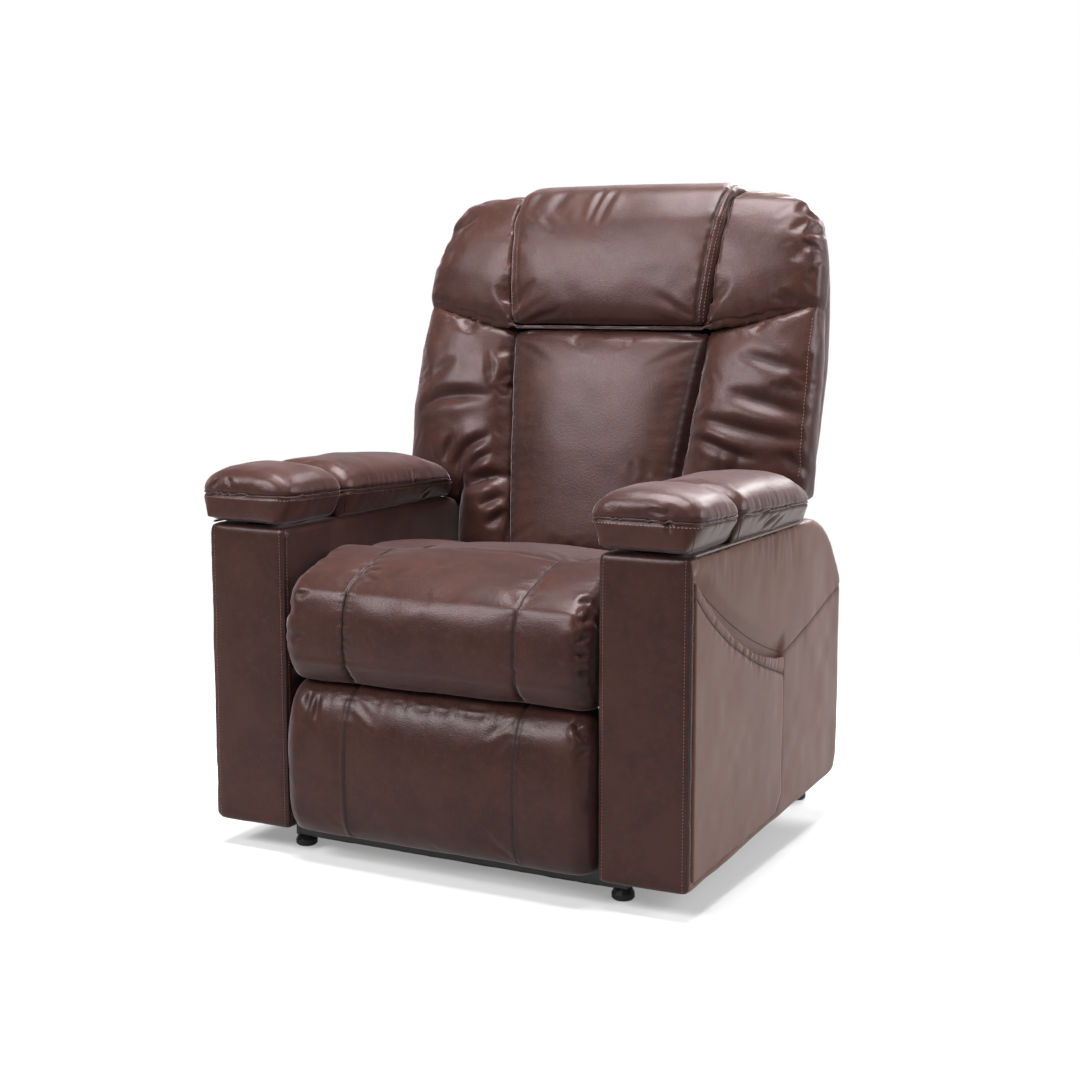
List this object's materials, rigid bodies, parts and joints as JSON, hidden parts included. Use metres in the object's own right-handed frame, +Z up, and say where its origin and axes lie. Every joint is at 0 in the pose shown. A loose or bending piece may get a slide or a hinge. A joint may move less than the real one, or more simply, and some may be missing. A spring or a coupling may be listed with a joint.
{
  "type": "lift recliner chair",
  "caption": "Upholstered powered lift and recline armchair with folding footrest, lidded cup holders in the arm pads and side pockets, on a low steel lift base.",
  "frame": {"origin": "middle of the outer width and depth, on the floor", "axes": "+Z up, the chair faces -Y, +X to the sitter's left"},
  "size_m": [0.894, 0.8451, 1.1188],
  "materials": {
    "steel_black": "satin black powder coat",
    "chrome": "polished rod",
    "black_plastic": "fine moulded grain",
    "glide_plastic": "plain moulded",
    "plywood": "sanded birch plywood",
    "leather_brown": "mottled semi-gloss pebble grain over foam",
    "leather_pad": "mottled semi-gloss pebble grain, stuffed arm pads",
    "leather_rear": "satin pebble grain outside back",
    "skirt_fabric": "black nonwoven sleeve"
  },
  "bodies": {
    "base": {"base_front_tube": "steel_black", "base_rear_tube": "steel_black", "base_drive_tube": "steel_black", "front_skirt": "skirt_fabric", "base_rail_left": "steel_black", "base_rail_right": "steel_black", "glide_front_left": "glide_plastic", "glide_front_right": "glide_plastic", "glide_rear_left": "glide_plastic", "glide_rear_right": "glide_plastic"},
    "lift_arms": {"lift_arm_left": "steel_black", "lift_arm_right": "steel_black", "lift_cross_bar": "steel_black"},
    "control_arm_left": {"control_arm_left": "steel_black"},
    "control_arm_right": {"control_arm_right": "steel_black"},
    "lift_drive": {"lift_drive_body": "black_plastic"},
    "lift_rod": {"lift_drive_rod": "chrome"},
    "seat": {"seat_plate_left": "steel_black", "seat_plate_right": "steel_black", "seat_drive_rail": "steel_black", "seat_deck": "plywood", "seat_cushion": "leather_brown", "control_box": "black_plastic", "arm_left": "leather_brown", "arm_right": "leather_brown", "pocket_left": "leather_brown", "pocket_right": "leather_brown", "cup_holder_left": "black_plastic", "cup_holder_right": "black_plastic", "arm_pad_left": "leather_pad", "arm_pad_right": "leather_pad"},
    "lid_left": {"lid_pad_left": "leather_pad"},
    "lid_right": {"lid_pad_right": "leather_pad"},
    "crank_left": {"crank_link_left": "steel_black"},
    "crank_right": {"crank_link_right": "steel_black"},
    "leg_left": {"leg_link_left": "steel_black"},
    "leg_right": {"leg_link_right": "steel_black"},
    "guide_left": {"guide_link_left": "steel_black"},
    "guide_right": {"guide_link_right": "steel_black"},
    "carry": {"carry_link_left": "steel_black", "carry_link_right": "steel_black", "footrest_cross_tube": "steel_black"},
    "footrest": {"footrest_bracket_left": "steel_black", "footrest_bracket_right": "steel_black", "footrest_board": "plywood", "footrest_cushion": "leather_brown"},
    "foot_drive": {"foot_drive_body": "black_plastic"},
    "foot_rod": {"foot_drive_rod": "chrome"},
    "back": {"back_post_left": "steel_black", "back_post_right": "steel_black", "back_top_rail": "plywood", "back_bottom_rail": "steel_black", "lumbar_cushion": "leather_brown", "side_bolster_left": "leather_brown", "side_bolster_right": "leather_brown", "shoulder_cushion": "leather_brown", "headrest_pad": "leather_brown", "rear_cover": "leather_rear"},
    "back_drive": {"back_drive_body": "black_plastic"},
    "back_rod": {"back_drive_rod": "chrome"}
  },
  "joints": [
    {"name": "lift", "type": "hinge", "parent": "base", "child": "lift_arms", "pos_m": [0, -0.1686, 0.075], "axis": [1, 0, 0], "range_deg": [0, 50]},
    {"name": "seat_tilt", "type": "hinge", "parent": "lift_arms", "child": "seat", "pos_m": [0, 0.1714, 0.105], "axis": [1, 0, 0], "range_deg": [-28.1, 0]},
    {"name": "control_arm_left", "type": "hinge", "parent": "base", "child": "control_arm_left", "pos_m": [0.269, -0.2186, 0.0885], "axis": [1, 0, 0], "range_deg": [0, 53.5]},
    {"name": "control_arm_right", "type": "hinge", "parent": "base", "child": "control_arm_right", "pos_m": [-0.269, -0.2186, 0.0885], "axis": [1, 0, 0], "range_deg": [0, 53.5]},
    {"name": "lift_drive", "type": "hinge", "parent": "base", "child": "lift_drive", "pos_m": [0, -0.2342, 0.0786], "axis": [1, 0, 0], "range_deg": [0, 42.7]},
    {"name": "lift_rod", "type": "hinge", "parent": "seat", "child": "lift_rod", "pos_m": [0, -0.0645, 0.295], "axis": [1, 0, 0], "range_deg": [0, 20.7]},
    {"name": "footrest", "type": "hinge", "parent": "seat", "child": "crank_left", "pos_m": [0.24675, -0.3036, 0.25], "axis": [-1, 0, 0], "range_deg": [0, 90]},
    {"name": "crank_right", "type": "hinge", "parent": "seat", "child": "crank_right", "pos_m": [-0.24675, -0.3036, 0.25], "axis": [-1, 0, 0], "range_deg": [0, 90]},
    {"name": "leg_left", "type": "hinge", "parent": "crank_left", "child": "leg_left", "pos_m": [0.23925, -0.28957, 0.10689], "axis": [1, 0, 0], "range_deg": [0, 135.5]},
    {"name": "guide_left", "type": "hinge", "parent": "seat", "child": "guide_left", "pos_m": [0.23175, -0.2652, 0.3012], "axis": [-1, 0, 0], "range_deg": [0, 78.5]},
    {"name": "leg_right", "type": "hinge", "parent": "crank_right", "child": "leg_right", "pos_m": [-0.23925, -0.28957, 0.10689], "axis": [1, 0, 0], "range_deg": [0, 135.5]},
    {"name": "guide_right", "type": "hinge", "parent": "seat", "child": "guide_right", "pos_m": [-0.23175, -0.2652, 0.3012], "axis": [-1, 0, 0], "range_deg": [0, 78.5]},
    {"name": "carry_links", "type": "hinge", "parent": "crank_left", "child": "carry", "pos_m": [0, -0.28566, 0.06708], "axis": [1, 0, 0], "range_deg": [0, 135.5]},
    {"name": "footrest_turn", "type": "hinge", "parent": "leg_left", "child": "footrest", "pos_m": [0, -0.30343, 0.23242], "axis": [-1, 0, 0], "range_deg": [0, 135.5]},
    {"name": "foot_drive", "type": "hinge", "parent": "seat", "child": "foot_drive", "pos_m": [0.085, -0.1228, 0.283], "axis": [-1, 0, 0], "range_deg": [0, 45.1]},
    {"name": "foot_rod", "type": "hinge", "parent": "carry", "child": "foot_rod", "pos_m": [0.085, -0.28566, 0.06708], "axis": [-1, 0, 0], "range_deg": [0, 90.5]},
    {"name": "recline", "type": "hinge", "parent": "seat", "child": "back", "pos_m": [0, 0.1614, 0.36], "axis": [-1, 0, 0], "range_deg": [0, 38]},
    {"name": "back_drive", "type": "hinge", "parent": "seat", "child": "back_drive", "pos_m": [-0.125, -0.0289, 0.2998], "axis": [-1, 0, 0], "range_deg": [0, 12.5]},
    {"name": "back_rod", "type": "hinge", "parent": "back", "child": "back_rod", "pos_m": [-0.125, 0.2663, 0.3199], "axis": [1, 0, 0], "range_deg": [0, 25.7]},
    {"name": "lid_left", "type": "hinge", "parent": "seat", "child": "lid_left", "pos_m": [0.355, -0.2336, 0.62734], "axis": [-1, 0, 0], "range_deg": [0, 100]},
    {"name": "lid_right", "type": "hinge", "parent": "seat", "child": "lid_right", "pos_m": [-0.355, -0.2336, 0.62734], "axis": [-1, 0, 0], "range_deg": [0, 100]}
  ],
  "couplings": [
    {"joint": "seat_tilt", "follows": "lift", "ratio": -0.56},
    {"joint": "control_arm_left", "follows": "lift", "ratio": 1.0672},
    {"joint": "control_arm_right", "follows": "lift", "ratio": 1.0672},
    {"joint": "lift_drive", "follows": "lift", "ratio": 0.8521},
    {"joint": "lift_rod", "follows": "lift", "ratio": 0.4121},
    {"joint": "crank_right", "follows": "footrest", "ratio": 1},
    {"joint": "leg_left", "follows": "footrest", "ratio": 1.503},
    {"joint": "guide_left", "follows": "footrest", "ratio": 0.8711},
    {"joint": "leg_right", "follows": "footrest", "ratio": 1.503},
    {"joint": "guide_right", "follows": "footrest", "ratio": 0.8711},
    {"joint": "carry_links", "follows": "footrest", "ratio": 1.503},
    {"joint": "footrest_turn", "follows": "footrest", "ratio": 1.503},
    {"joint": "foot_drive", "follows": "footrest", "ratio": 0.5},
    {"joint": "foot_rod", "follows": "footrest", "ratio": 1.003},
    {"joint": "back_drive", "follows": "recline", "ratio": 0.32644},
    {"joint": "back_rod", "follows": "recline", "ratio": 0.67356}
  ]
}
